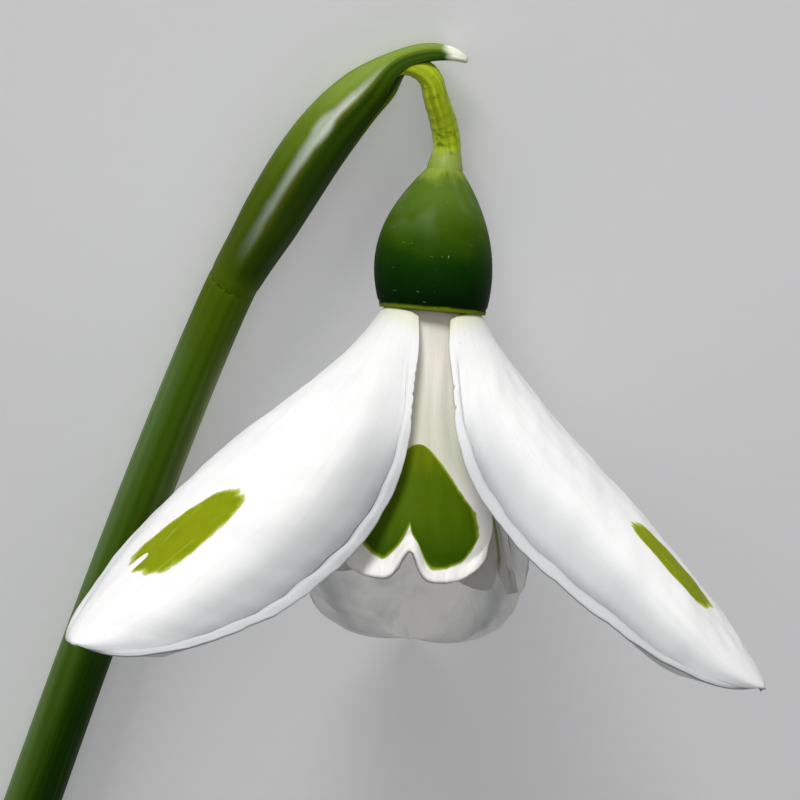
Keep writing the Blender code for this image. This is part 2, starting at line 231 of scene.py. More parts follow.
class Nodes:
    """The nodes of one material or group."""

    def __init__(self, tree):
        self.tree = tree

    def add(self, kind, settings=None, **inputs):
        node = self.tree.nodes.new("ShaderNode" + kind)
        for key, value in (settings or {}).items():
            setattr(node, key, value)
        for key, value in inputs.items():
            self.feed(node.inputs[key.replace("_", " ")], value)
        return node

    def feed(self, socket, value):
        if isinstance(value, bpy.types.NodeSocket):
            self.tree.links.new(value, socket)
        else:
            socket.default_value = value

    def math(self, operation, *values):
        node = self.add("Math", {"operation": operation})
        for socket, value in zip(node.inputs, values):
            self.feed(socket, value)
        return node.outputs[0]

    def times(self, first, second):
        return self.math("MULTIPLY", first, second)

    def plus(self, first, second):
        return self.math("ADD", first, second)

    def minus(self, first, second):
        return self.math("SUBTRACT", first, second)

    def mix(self, factor, first, second):
        node = self.add("Mix", {"data_type": "RGBA"})
        self.feed(node.inputs[0], factor)
        for socket, colour in ((node.inputs[6], first), (node.inputs[7], second)):
            self.feed(socket, (*colour, 1.0) if isinstance(colour, tuple) else colour)
        return node.outputs[2]

    def layers(self, colour, *layers):
        """Lays tints over a colour one after another. Each is a mask and its tint."""
        for mask, tint in layers:
            colour = self.mix(mask, colour, tint)
        return colour

    def remap(self, value, low, high, to_low=0.0, to_high=1.0):
        node = self.add("MapRange", {"interpolation_type": "SMOOTHSTEP"})
        for socket, number in zip(node.inputs, (value, low, high, to_low, to_high)):
            self.feed(socket, number)
        return node.outputs[0]

    def ramp(self, value, low, high):
        node = self.add("MapRange")
        for socket, number in zip(node.inputs, (value, low, high, 0.0, 1.0)):
            self.feed(socket, number)
        return node.outputs[0]

    def bump_at(self, value, centre, width):
        """1 where value is at the centre, 0 from width away."""
        away = self.math("ABSOLUTE", self.minus(value, centre))
        return self.remap(away, 0.0, width, 1.0, 0.0)

    def noise(self, vector, scale, detail=3.0):
        node = self.add("TexNoise", Vector=vector, Scale=scale, Detail=detail, Roughness=NOISE_ROUGHNESS)
        return node.outputs[0]

    def cloud(self, vector, x, y, detail=3.0):
        """Noise with its own scale across and along the map."""
        stretched = self.add("Mapping", Vector=vector)
        stretched.inputs["Scale"].default_value = (x, y, 1.0)
        return self.noise(stretched.outputs[0], 1.0, detail)

    def drift(self, noise, amount):
        """Noise turned into a push of up to half the amount to either side."""
        return self.times(self.minus(noise, 0.5), amount)

    def surface_map(self):
        """The piece's map, t from -1 to 1 across it and s from 0 to 1 along it."""
        uv = self.add("UVMap", {"uv_map": "UVMap"}).outputs[0]
        parts = self.add("SeparateXYZ", Vector=uv)
        across = self.math("MULTIPLY_ADD", parts.outputs[0], 2.0, -1.0)
        return uv, across, parts.outputs[1]

    def effect(self, name, **inputs):
        """One of the shared effects, placed with its own values."""
        node = self.add("Group", {"node_tree": bpy.data.node_groups[name]})
        for key, value in inputs.items():
            self.feed(node.inputs[key.replace("_", " ")], value)
        return node.outputs


def new_material(name):
    material = bpy.data.materials.new(name)
    material.use_nodes = True
    material.node_tree.nodes.clear()
    return material, Nodes(material.node_tree)


def close_material(nodes, colour, roughness, height, depth, **constants):
    """The shader itself. Height is in units of depth, which is in millimetres."""
    bump = nodes.add("Bump", Height=height, Distance=depth * MM, Strength=1.0)
    shader = nodes.add("BsdfPrincipled", Base_Color=colour, Roughness=roughness, Normal=bump.outputs[0])
    for key, value in constants.items():
        nodes.feed(shader.inputs[key.replace("_", " ")], value)
    output = nodes.add("OutputMaterial")
    nodes.feed(output.inputs["Surface"], shader.outputs[0])


# %% [markdown]
# ## Effects that several finishes share
# Veins run along every leaf-like piece, and soft-edged green marks appear on both rings of tepals.
# Each is a node group, built once and given its own numbers wherever it is used.

# %% Helper for node groups
def new_effect(name, inputs, outputs):
    tree = bpy.data.node_groups.new(name, "ShaderNodeTree")
    for label, kind, value in inputs:
        socket = tree.interface.new_socket(label, in_out="INPUT", socket_type=kind)
        if value is not None:
            socket.default_value = value
    for label in outputs:
        tree.interface.new_socket(label, in_out="OUTPUT", socket_type="NodeSocketFloat")
    nodes = Nodes(tree)
    return nodes, tree.nodes.new("NodeGroupInput").outputs, tree.nodes.new("NodeGroupOutput").inputs


FLOAT, VECTOR = "NodeSocketFloat", "NodeSocketVector"


# %% Veins: streaks that run the length of a piece
def make_veins():
    nodes, given, result = new_effect(
        "veins",
        (("Map", VECTOR, None), ("Count", FLOAT, 20.0), ("Waviness", FLOAT, 0.02)),
        ("Fine", "Broad"),
    )
    parts = nodes.add("SeparateXYZ", Vector=given["Map"])
    sway = nodes.drift(nodes.cloud(given["Map"], 3.0, 4.0), given["Waviness"])
    across = nodes.times(nodes.plus(parts.outputs[0], sway), given["Count"])
    along = nodes.times(parts.outputs[1], 2.0)
    fine = nodes.add("CombineXYZ", X=across, Y=along)
    broad = nodes.add("CombineXYZ", X=nodes.times(across, 0.3), Y=along)
    nodes.feed(result["Fine"], nodes.noise(fine.outputs[0], 2.0, 2.0))
    nodes.feed(result["Broad"], nodes.noise(broad.outputs[0], 1.5, 1.0))


make_veins()


# %% Blotch: a soft-edged oval mark with a ragged outline
def make_blotch():
    nodes, given, result = new_effect(
        "blotch",
        (
            ("Map", VECTOR, None),
            ("Across", FLOAT, 0.0),
            ("Along", FLOAT, 0.5),
            ("Half Width", FLOAT, 0.1),
            ("Half Length", FLOAT, 0.1),
            ("Ragged", FLOAT, 0.3),
        ),
        ("Depth",),
    )
    parts = nodes.add("SeparateXYZ", Vector=given["Map"])
    across = nodes.math("MULTIPLY_ADD", parts.outputs[0], 2.0, -1.0)
    u = nodes.math("DIVIDE", nodes.minus(across, given["Across"]), given["Half Width"])
    v = nodes.math("DIVIDE", nodes.minus(parts.outputs[1], given["Along"]), given["Half Length"])
    cubes = [nodes.math("POWER", nodes.math("ABSOLUTE", part), 3.0) for part in (u, v)]
    ragged = nodes.drift(nodes.cloud(given["Map"], 40.0, 24.0), given["Ragged"])
    nodes.feed(result["Depth"], nodes.minus(1.0, nodes.plus(nodes.plus(*cubes), ragged)))


make_blotch()


# %% Skin: the fine pebbling of plant cells, and a sparse scatter of specks
SPECK_SPREAD = 0.13  # the specks' scale beside that of the cells
SPECKS_LEFT_OUT = 0.86  # the share of places that stay without one


def make_skin():
    nodes, given, result = new_effect(
        "skin",
        (("Map", VECTOR, None), ("Across", FLOAT, 60.0), ("Along", FLOAT, 90.0)),
        ("Cells", "Specks"),
    )
    parts = nodes.add("SeparateXYZ", Vector=given["Map"])
    across = nodes.times(parts.outputs[0], given["Across"])
    along = nodes.times(parts.outputs[1], given["Along"])
    spread = nodes.add("CombineXYZ", X=across, Y=along).outputs[0]
    cells = nodes.add("TexVoronoi", Vector=spread, Scale=1.0)
    nodes.feed(result["Cells"], cells.outputs["Distance"])
    dots = nodes.add("TexVoronoi", Vector=spread, Scale=SPECK_SPREAD)
    near = nodes.remap(dots.outputs["Distance"], 0.03, 0.07, 1.0, 0.0)
    chosen = nodes.add("SeparateXYZ", Vector=dots.outputs["Color"]).outputs[0]
    nodes.feed(result["Specks"], nodes.times(near, nodes.math("GREATER_THAN", chosen, SPECKS_LEFT_OUT)))


make_skin()
print("shared effects:", [group.name for group in bpy.data.node_groups])

# %% [markdown]
# ## The shape of a tepal
# A tepal is a sheet that curves both ways. Its midrib leaves the ovary at an angle and spreads;
# across it, the sheet is rolled like a shallow gutter. Real ones also carry a furrow inside each
# margin with a lighter rim beyond it, faint ribs, and edges that are never quite even. These are
# modelled rather than left to bump, because they show in the outline and catch the light.

# %% Where the midrib goes
SPREAD_STOPS = (0.0, 0.4, 1.0)
BEND_STOPS = (0.0, 0.3, 0.7, 1.0)
TWIST_STOPS = (0.0, 0.3, 1.0)
FOOT_DROP = 0.28
MIDRIB_STEPS = 400


def midrib(shape, place):
    """Radius from the flower's axis, drop below the ovary, and spread of the midrib at each place."""
    stops = np.linspace(0, 1, MIDRIB_STEPS + 1)
    middles = (stops[1:] + stops[:-1]) / 2
    spread = np.radians(smooth_curve(middles, SPREAD_STOPS, shape["spread"]))
    step = shape["length"] / MIDRIB_STEPS
    radius = np.concatenate([[0], np.cumsum(np.sin(spread) * step)]) + shape["foot_radius"]
    drop = np.concatenate([[0], np.cumsum(np.cos(spread) * step)]) + FOOT_DROP * ease(stops, 0, 0.06)
    now = np.radians(smooth_curve(place, SPREAD_STOPS, shape["spread"]))
    return np.interp(place, stops, radius), np.interp(place, stops, drop), now


# %% Bend a sheet about its midrib
FLARE_START = 0.72
CORNER_ROUNDING = 4
NOTCH_HALF_WIDTH = 0.14


def tepal_place(shape, half_width_at, relief, azimuth):
    """Gives place(s, t) for a grid: the tepal's mid-surface with its relief, on the head."""

    def place(s, t):
        notch = shape["notch"] * np.exp(-((t / NOTCH_HALF_WIDTH) ** 2))
        along = s * (1 - notch - shape["corner"] * np.abs(t) ** CORNER_ROUNDING)
        radius, drop, spread = midrib(shape, along)
        turn = np.radians(smooth_curve(along, TWIST_STOPS, shape["twist"]))
        zero = np.zeros_like(s)
        out = np.stack([zero, -np.cos(spread), np.sin(spread)], 1)
        side = np.stack([np.ones_like(s), zero, zero], 1)
        across = side * np.cos(turn)[:, None] + out * np.sin(turn)[:, None]
        out = out * np.cos(turn)[:, None] - side * np.sin(turn)[:, None]
        half_width = half_width_at(shape, s, t)
        bend = np.radians(smooth_curve(along, BEND_STOPS, shape["bend"]))
        sideways = half_width / bend * np.sin(bend * t)
        inward = half_width / bend * (1 - np.cos(bend * t))
        margin = np.clip((np.abs(t) - FLARE_START) / (1 - FLARE_START), 0, None)
        flare = shape["flare"] * half_width / shape["greatest_half_width"] * margin**2
        lift = flare - inward + relief(s, t)
        centre = np.stack([zero, -radius, -drop], 1)
        return on_head(centre + across * sideways[:, None] + out * lift[:, None], azimuth)

    return place


# %% The three outer tepals: outline and relief
# Lengths are in millimetres. Places run from 0 to 1, along the tepal or from its midrib to its margin.
OUTER_TEPAL = {
    "length": 27.0, "foot_radius": 2.6, "foot_half_width": 1.5, "greatest_half_width": 8.0,
    "widest_at": 0.45, "bend": (50.0, 70.0, 60.0, 50.0), "flare": 0.5, "notch": 0.0, "corner": 0.0,
    "pucker": 0.05,
}
TIP_BLUNTNESS = 2.5
NIB_LENGTH, NIB_HALF_WIDTH = 0.012, 0.3
NIB_OVERLAP = 0.6  # the blade's outline ends this share of the nib's length before the tip
CLAW_EXTRA = 0.5  # the claw is broader where it leaves the ovary
TEETH_DEPTH, NICK_DEPTH = 0.02, 0.45  # of the small unevenness of the margins
NICK_PLACE, NICK_REACH, NICK_LEVEL = 0.16, 0.06, 0.25
FURROW_PLACE, FURROW_DEPTH = 0.77, 0.85
FURROW_BODY_SIDE, FURROW_RIM_SIDE = 0.24, 0.075  # a long slope to the midrib, a short one to the rim
RIM_RISE, RIM_START, RIM_FULL = 0.12, 0.80, 0.93  # the rim beyond the furrow rolls outward
SWELL_HEIGHT, RIB_HEIGHT, FRILL_HEIGHT = 0.10, 0.012, 0.03


def outer_half_width(shape, s, t):
    """A quarter wave from the foot to the widest place, a blunt oval after it, and a small nib."""
    foot, greatest, widest_at = shape["foot_half_width"], shape["greatest_half_width"], shape["widest_at"]
    swell = foot + (greatest - foot) * np.sin(pi / 2 * np.clip(s / widest_at, 0, 1))
    blade = s / (1 - NIB_LENGTH * NIB_OVERLAP)
    past = np.clip((blade - widest_at) / (1 - widest_at), 0, 1)
    oval = greatest * np.sqrt(1 - past**TIP_BLUNTNESS)
    into_nib = np.clip((s - 1 + NIB_LENGTH) / NIB_LENGTH, 0, 1)
    nib = NIB_HALF_WIDTH * np.sqrt(np.clip(1 - into_nib**2, 0.02, 1))
    margin = ease(np.abs(t), 0.85, 1.0)
    uneven = 1 + 0.010 * soft_waves(s * 9, np.sign(t) * 2, shape["seed"])
    teeth = TEETH_DEPTH * margin * soft_waves(s * 60, np.sign(t), shape["seed"] + 4)
    torn = np.clip(soft_waves(s * 120, np.sign(t) * 3, shape["seed"] + 6) - NICK_LEVEL, 0, None)
    nicks = NICK_DEPTH * ridge(s, NICK_PLACE, NICK_REACH) * torn * margin
    claw = CLAW_EXTRA * (1 - ease(s, 0.02, 0.14))
    blade_width = np.where(s < widest_at, swell + claw, oval) * uneven
    return np.maximum(blade_width + teeth * body_of(s) - nicks, nib)


def body_of(s):
    """1 over most of a tepal's length, 0 at its foot and its tip."""
    return ease(s, 0.04, 0.20) * (1 - ease(s, 0.88, 0.985))


def furrow_profile(s, side, seed):
    """1 in the furrow that runs inside a margin, falling off to both sides."""
    away = side - FURROW_PLACE - 0.025 * soft_waves(s * 6, side * 0, seed)
    return np.exp(-((away / np.where(away < 0, FURROW_BODY_SIDE, FURROW_RIM_SIDE)) ** 2))


def outer_relief(shape):
    """The height of the skin above the plain bent sheet. furrows says how deep each side's furrow is."""
    low, high = shape["furrows"]
    seed = shape["seed"]

    def relief(s, t):
        side = np.abs(t)
        strength = np.where(t < 0, low, high)
        furrow = FURROW_DEPTH * furrow_profile(s, side, seed) * strength
        rim = RIM_RISE * ease(side, RIM_START, RIM_FULL) * strength
        swells = SWELL_HEIGHT * soft_waves(s * 5, t * 2.5, seed + 1)
        ribs = RIB_HEIGHT * np.cos(t * 30 + 2.0 * soft_waves(s * 2, t, 3))
        near_margin = 0.35 + ridge(side, 0.70, 0.20)
        puckers = shape["pucker"] * soft_waves(s * 26, t * 8, seed + 2) * near_margin
        frill = FRILL_HEIGHT * ease(side, RIM_START, 1.0) * soft_waves(s * 13, np.sign(t), seed + 3)
        return body_of(s) * (swells + ribs + puckers + frill + rim - furrow)

    return relief


# %% [markdown]
# ## The white of the outer tepals
# Snowdrop white is air between clear cells. It scatters light softly, so a little subsurface
# scattering suits it. Faint grey veins run the length, and near the tip lies a yellow-green mark
# that is forked on two of the three. A painted picture could do the mark, but an oval worked out
# on the tepal's own map stays sharp at any distance and needs no image.
# Down each tepal's flank and in the furrow inside its margin, a grey is painted in as shade.

# %% Colours of the tepals
WHITE, VEIN_GREY, INSIDE_GREY = (0.82, 0.82, 0.81), (0.64, 0.65, 0.66), (0.86, 0.85, 0.82)
# The second row is painted shade: a grey for the flank that turns away from the light, and a darker grey
# for the furrow inside the margin.
FLANK_SHADE, FURROW_SHADE = (0.50, 0.515, 0.52), (0.27, 0.28, 0.30)
MARK_GREEN, MARK_PALE, MARK_DEEP = (0.215, 0.265, 0.001), (0.46, 0.50, 0.10), (0.150, 0.210, 0.001)
MARK_TAPER = 0.35  # how much wider it is at the end nearer the tip
FORK_SIDE, FORK_WIDTH = -0.07, 0.15  # its place across, and its share of the mark's half width
FOOT_TINT, SPECK_TAN = (0.66, 0.68, 0.46), (0.33, 0.27, 0.17)
WHITE_SCATTER = {
    "Subsurface_Weight": 0.15, "Subsurface_Scale": 0.0006, "Subsurface_Radius": (1.0, 1.0, 0.9),
}
FAINT_SCATTER = {"Subsurface_Weight": 0.08, "Subsurface_Scale": 0.0004}


# %% The finish of an outer tepal
def tepal_white(name, base, furrows=(0.5, 0.5), mark=None, size=None, fork=0.0, patches=0.20, glow=0.0):
    """White with faint veins, grey patches and painted shade. mark is the (across, along, lean) of a green
    mark.

    size is the mark's half width and half length, and fork how deeply its lower end is split.
    furrows sets how strong the painted shade is on each side: grey down the flank, darker in the furrow
    inside that margin. patches sets the grey patches, which on the shaded inside are mostly painted shade
    of its puckers.
    The glow stands for the daylight that comes through a shaded tepal.
    """
    material, nodes = new_material(name)
    uv, t, s = nodes.surface_map()
    veins = nodes.effect("veins", Map=uv, Count=16.0, Waviness=0.05)
    skin = nodes.effect("skin", Map=uv, Across=110.0, Along=180.0)
    # The grey patches are a tone that differs at random, and where patches is large they are mostly painted
    # shade.
    patchy_tone_and_shade = nodes.remap(nodes.cloud(uv, 4.0, 8.0, 4.0), 0.45, 0.72, 0.0, patches)
    # Painted shade: grey that grows down the flank towards the margin, and darker in the furrow, each side
    # as strong as furrows sets.
    wander = nodes.math("MULTIPLY_ADD", nodes.minus(veins["Broad"], 0.5), 0.10, nodes.math("ABSOLUTE", t))
    shade_strength = nodes.times(nodes.remap(t, -0.3, 0.3, *furrows), nodes.remap(s, 0.12, 0.35))
    flank = nodes.times(nodes.remap(wander, 0.40, 0.66, 0.0, 0.9), shade_strength)
    groove_shade = nodes.times(nodes.bump_at(wander, FURROW_PLACE, 0.13), shade_strength)
    colour = nodes.layers(
        base,
        (nodes.remap(veins["Fine"], 0.48, 0.75, 0.0, 0.22), VEIN_GREY),
        (patchy_tone_and_shade, VEIN_GREY),
        (flank, FLANK_SHADE),
        (nodes.times(groove_shade, nodes.remap(s, 0.84, 0.97, 0.85, 0.0)), FURROW_SHADE),
        (nodes.remap(s, 0.0, 0.045, 0.8, 0.0), FOOT_TINT),
        (nodes.times(skin["Specks"], 0.45), SPECK_TAN),
    )
    if mark:
        colour = green_mark(nodes, uv, t, s, colour, veins, mark, size, fork)
    height = nodes.plus(nodes.times(veins["Fine"], 0.7), nodes.times(skin["Cells"], 0.25))
    rough = nodes.remap(veins["Broad"], 0.3, 0.7, 0.50, 0.62)
    light = {"Emission_Color": colour, "Emission_Strength": glow} if glow else {}
    close_material(nodes, colour, rough, height, 0.02, Specular_IOR_Level=0.06, **WHITE_SCATTER, **light)
    return material


def green_mark(nodes, uv, t, s, colour, veins, mark, size, fork):
    """A blunt mark with a pale border that may lean across the tepal and be forked nearer the tip."""
    across, along, lean = mark
    half_width, half_length = size
    ahead = nodes.minus(s, along)
    from_axis = nodes.minus(nodes.math("MULTIPLY_ADD", ahead, -lean, t), across)
    narrow = nodes.math("MULTIPLY_ADD", ahead, -MARK_TAPER / half_length, 1.0)
    sideways = nodes.math("MULTIPLY_ADD", nodes.times(from_axis, narrow), 0.5, 0.5)
    leaning = nodes.add("CombineXYZ", X=sideways, Y=s).outputs[0]
    inside = nodes.effect("blotch", Map=leaning, Across=0.0, Along=along, Half_Width=half_width,
                          Half_Length=half_length, Ragged=0.75)["Depth"]
    if fork:
        split = nodes.effect("blotch", Map=leaning, Across=FORK_SIDE, Along=along + half_length,
                             Half_Width=half_width * FORK_WIDTH, Half_Length=half_length * fork, Ragged=0.9)
        inside = nodes.minus(inside, nodes.times(nodes.math("MAXIMUM", split["Depth"], 0.0), 2.0))
    green = nodes.layers(
        MARK_PALE,
        (nodes.remap(inside, 0.10, 0.40), MARK_GREEN),
        (nodes.remap(nodes.cloud(uv, 9.0, 14.0), 0.45, 0.70, 0.0, 0.6), MARK_DEEP),
        (nodes.remap(veins["Fine"], 0.62, 0.72, 0.0, 0.5), MARK_PALE),
    )
    return nodes.mix(nodes.remap(inside, 0.0, 0.16), colour, green)


# On the insides the grey patches are strong, mostly painted shade for the puckers, and the glow is painted
# light for daylight coming through.
OUTER_INSIDE = tepal_white("outer_tepal_inside", INSIDE_GREY, patches=0.9, glow=0.20)

# %% Make the outer tepals
OUTER_TURN = 3.0
OUTER_TEPALS = {
    "outer_tepal_left": {
        "azimuth": OUTER_TURN - 60, "spread": (35.0, 45.0, 45.0), "twist": (0.0, -20.0, -10.0),
        "seed": 11, "furrows": (0.35, 1.0),
        "mark": (-0.01, 0.655, -0.50), "mark_size": (0.20, 0.140), "fork": 0.45,
    },
    "outer_tepal_right": {
        "azimuth": OUTER_TURN + 60, "spread": (40.0, 50.0, 40.0), "twist": (0.0, 0.0, 0.0),
        "greatest_half_width": 8.5, "seed": 23, "furrows": (1.0, 0.35),
        "mark": (-0.06, 0.683, 0.45), "mark_size": (0.135, 0.118), "fork": 0.0,
    },
    "outer_tepal_back": {
        "azimuth": 179.0, "spread": (36.0, 46.0, 52.0), "twist": (0.0, 0.0, 0.0),
        "greatest_half_width": 7.8, "bend": (50.0, 65.0, 50.0, 40.0), "seed": 37, "furrows": (0.4, 0.4),
        "mark": (0.0, 0.67, 0.0), "mark_size": (0.16, 0.135), "fork": 0.4, "pucker": 0.24, "notch": 0.02,
    },
}
TEPAL_ROWS, TEPAL_COLUMNS = 170, 90
TEPAL_WALL, MARGIN_SHARE = 0.34, 0.45  # the wall in millimetres, and how much of it the margins keep
THINS_FROM = 0.75


def margin_weights(sheet, fade):
    """1 over the body of a grid, falling to 0 at its two long edges."""
    across = {}
    layer = sheet.data.uv_layers["UVMap"].data
    for loop in sheet.data.loops:
        across[loop.vertex_index] = abs(layer[loop.index].uv[0] * 2 - 1)
    return [1 - ease(across[k], fade, 1.0) for k in range(len(sheet.data.vertices))]


for name, pose in OUTER_TEPALS.items():
    shape = {**OUTER_TEPAL, **pose}
    surface = tepal_place(shape, outer_half_width, outer_relief(shape), shape["azimuth"])
    finish = tepal_white(
        name + "_white", WHITE, shape["furrows"], shape["mark"], shape["mark_size"], shape["fork"]
    )
    tepal = piece(name + "_bloom", bent_grid(TEPAL_ROWS, TEPAL_COLUMNS, surface, flip=True),
                  [finish, OUTER_INSIDE], "outer_tepal_white", name)
    thicken(tepal, TEPAL_WALL, margin_weights(tepal, THINS_FROM), MARGIN_SHARE)

# %% [markdown]
# ## The inner cup
# The three inner tepals are shorter and notched at the end, with a thick puckered white rim. The
# green mark hugs the notch like a heart turned upside down. The notch is cut by shortening the
# grid along its middle, which keeps every row of faces whole, where a Boolean would leave slivers.

# %% Outline and relief of an inner tepal
INNER_TEPAL = {
    "length": 15.2, "foot_radius": 1.85, "greatest_half_width": 4.9, "bend": (50.0, 48.0, 50.0, 46.0),
    "flare": 0.35, "notch": 0.105, "corner": 0.13, "spread": (2.0, 20.0, 8.0), "twist": (0.0, 0.0, 0.0),
}
INNER_WIDTH_STOPS, INNER_HALF_WIDTHS = (0.0, 0.35, 0.6, 0.85, 1.0), (1.7, 2.0, 3.4, 4.9, 4.6)
INNER_AZIMUTHS = {"inner_tepal_front": -1.0, "inner_tepal_left": -121.0, "inner_tepal_right": 119.0}
INNER_LONGER = {"inner_tepal_right": 0.4}  # this one hangs a little below the others
INNER_ROWS, INNER_COLUMNS, INNER_WALL = 110, 90, 0.36
LIP_HEIGHT, LIP_GROOVE, SCALLOP_HEIGHT = 0.30, 0.14, 0.09  # of the puckered rim, in millimetres


def inner_half_width(shape, s, t):
    return smooth_curve(s, INNER_WIDTH_STOPS, INNER_HALF_WIDTHS)


def inner_relief(seed):
    def relief(s, t):
        ribs = 0.03 * np.cos(t * 14) * ease(s, 0.05, 0.3)
        lip = LIP_HEIGHT * ease(s, 0.94, 1.0) - LIP_GROOVE * ridge(s, 0.925, 0.03)
        scallops = SCALLOP_HEIGHT * ease(s, 0.88, 1.0) * soft_waves(s * 2, t * 6, seed)
        return ribs + (lip + scallops) * (1 - ease(np.abs(t), 0.82, 1.0))

    return relief


# %% The finish of an inner tepal: white, with an inverted green heart
# The stalk's warm and green-grey tones, darker than the cream of the bell, are partly its own tint and
# partly painted shade.
CREAM, STALK_WARM, STALK_GREEN = (0.80, 0.79, 0.76), (0.73, 0.70, 0.63), (0.57, 0.58, 0.47)
HEART_UPPER, HEART_GREEN = (0.135, 0.175, 0.0015), (0.066, 0.122, 0.001)
HEART_LOWER = (0.036, 0.083, 0.0006)
HEART_EDGE = (0.30, 0.36, 0.03)
HEART_TOP, HEART_WIDEST, HEART_BOTTOM = 0.49, 0.71, 0.955
HEART_HALF_WIDTH, HEART_SHOULDERS = 0.82, 0.52  # below 1, the shoulders are full and round
CLEFT_SIDE, CLEFT_HALF_WIDTH, CLEFT_DEPTH = 0.03, 0.30, 0.15
HEART_ROUND_OFF, HEART_LEAN = 0.40, 0.05


def tissue_length(nodes, t, s):
    """How far along the tepal a point lies, with the shortening by its notch and corners."""
    side = nodes.math("ABSOLUTE", t)
    square = nodes.math("POWER", nodes.math("DIVIDE", side, NOTCH_HALF_WIDTH), 2.0)
    notch = nodes.times(nodes.math("EXPONENT", nodes.times(square, -1.0)), INNER_TEPAL["notch"])
    corner = nodes.times(nodes.math("POWER", side, float(CORNER_ROUNDING)), INNER_TEPAL["corner"])
    return nodes.times(s, nodes.minus(1.0, nodes.plus(notch, corner)))


def inside_heart(nodes, t, along):
    """Above 0 inside the heart. Its top is a growing width, and its lower end is cleft at the notch."""
    side = nodes.math("ABSOLUTE", t)
    widen = nodes.math("POWER", nodes.ramp(along, HEART_TOP, HEART_WIDEST), HEART_SHOULDERS)
    reach = nodes.minus(nodes.times(widen, HEART_HALF_WIDTH), side)
    away = nodes.math("ABSOLUTE", nodes.plus(t, CLEFT_SIDE))
    near = nodes.minus(1.0, nodes.ramp(away, 0.0, CLEFT_HALF_WIDTH))
    cleft = nodes.times(nodes.math("POWER", near, 1.6), CLEFT_DEPTH)
    round_off = nodes.times(nodes.math("POWER", side, 3.3), HEART_ROUND_OFF)
    end = nodes.math("MULTIPLY_ADD", t, HEART_LEAN, HEART_BOTTOM)
    below = nodes.times(nodes.minus(nodes.minus(end, nodes.plus(cleft, round_off)), along), 3.3)
    return nodes.math("MINIMUM", reach, below)


def inner_white():
    material, nodes = new_material("inner_tepal_finish")
    uv, t, s = nodes.surface_map()
    veins = nodes.effect("veins", Map=uv, Count=18.0, Waviness=0.03)
    skin = nodes.effect("skin", Map=uv, Across=60.0, Along=110.0)
    along = tissue_length(nodes, t, s)
    inside = nodes.plus(inside_heart(nodes, t, along), nodes.drift(nodes.cloud(uv, 22.0, 30.0), 0.05))
    green = nodes.layers(
        HEART_UPPER,
        (nodes.remap(along, 0.50, 0.64), HEART_GREEN),
        (nodes.remap(along, 0.72, 0.93), HEART_LOWER),
        (nodes.remap(veins["Broad"], 0.45, 0.7, 0.0, 0.35), HEART_LOWER),
    )
    green = nodes.mix(nodes.remap(inside, 0.01, 0.09), HEART_EDGE, green)
    colour = nodes.layers(
        # The darker stalk is partly painted shade.
        STALK_WARM,
        (nodes.remap(s, 0.15, 0.45), STALK_GREEN),
        (nodes.remap(s, 0.50, 0.75), CREAM),
        (nodes.remap(veins["Fine"], 0.45, 0.72, 0.0, 0.25), VEIN_GREY),
        (nodes.remap(inside, 0.0, 0.035), green),
    )
    height = nodes.plus(veins["Fine"], nodes.times(skin["Cells"], 0.3))
    rough = nodes.remap(veins["Broad"], 0.3, 0.7, 0.50, 0.62)
    close_material(nodes, colour, rough, height, 0.02, Specular_IOR_Level=0.03, **FAINT_SCATTER)
    return material


# %% The inside of the cup: white with green stripes
def inner_striped():
    material, nodes = new_material("inner_tepal_inside")
    uv, t, s = nodes.surface_map()
    veins = nodes.effect("veins", Map=uv, Count=18.0, Waviness=0.03)
    wave = nodes.math("SINE", nodes.times(t, 22.0))
    stripe = nodes.times(nodes.remap(wave, 0.0, 0.7), nodes.remap(s, 0.25, 0.5))
    stripe = nodes.times(stripe, nodes.remap(s, 0.88, 0.95, 1.0, 0.0))
    colour = nodes.mix(nodes.times(stripe, 0.85), CREAM, HEART_EDGE)
    close_material(nodes, colour, 0.55, veins["Fine"], 0.02, Specular_IOR_Level=0.15, **FAINT_SCATTER)
    return material


# %% Make the inner tepals
INNER_FINISHES = [inner_white(), inner_striped()]
for seed, (name, azimuth) in enumerate(INNER_AZIMUTHS.items()):
    shape = {**INNER_TEPAL, "length": INNER_TEPAL["length"] + INNER_LONGER.get(name, 0.0)}
    surface = tepal_place(shape, inner_half_width, inner_relief(seed + 51), azimuth)
    tepal = piece(name + "_bloom", bent_grid(INNER_ROWS, INNER_COLUMNS, surface, flip=True),
                  INNER_FINISHES, "inner_tepal_white", name)
    thicken(tepal, INNER_WALL)

# %% [markdown]
# ## The ovary
# The ovary is the swelling that becomes the seed pod: waxy, very dark green at its base and paler
# towards the neck, with a thin yellow-green rim where the tepals leave it. It could be spun from
# an outline. A rolled grid gives the same round body and also a height to colour it by.

# %% Profile of the ovary
OVARY_HEIGHT, OVARY_RADIUS, OVARY_WIDEST = 8.1, 3.3, 2.3
OVARY_BASE_RADIUS, OVARY_NECK_RADIUS, OVARY_SWAY = 2.95, 0.8, 0.2
LOBE_HEIGHT, RIM_GROOVE = 0.03, 0.05
OVARY_ROWS, OVARY_COLUMNS = 120, 96


def ovary_place(s, t):
    height = s * OVARY_HEIGHT
    below = np.clip(1 - height / OVARY_WIDEST, 0, None)
    above = np.clip((height - OVARY_WIDEST) / (OVARY_HEIGHT - OVARY_WIDEST), 0, None)
    radius = OVARY_RADIUS - (OVARY_RADIUS - OVARY_BASE_RADIUS) * below**2
    radius = radius - (OVARY_RADIUS - OVARY_NECK_RADIUS) * above**2
    angle = t * pi
    lobes = LOBE_HEIGHT * np.cos(3 * angle) * np.sin(pi * s) - RIM_GROOVE * ridge(s, 0.035, 0.012)
    x = (radius + lobes) * np.sin(angle) - OVARY_SWAY * np.sin(pi * s)
    return on_head(np.stack([x, -(radius + lobes) * np.cos(angle), height], 1))


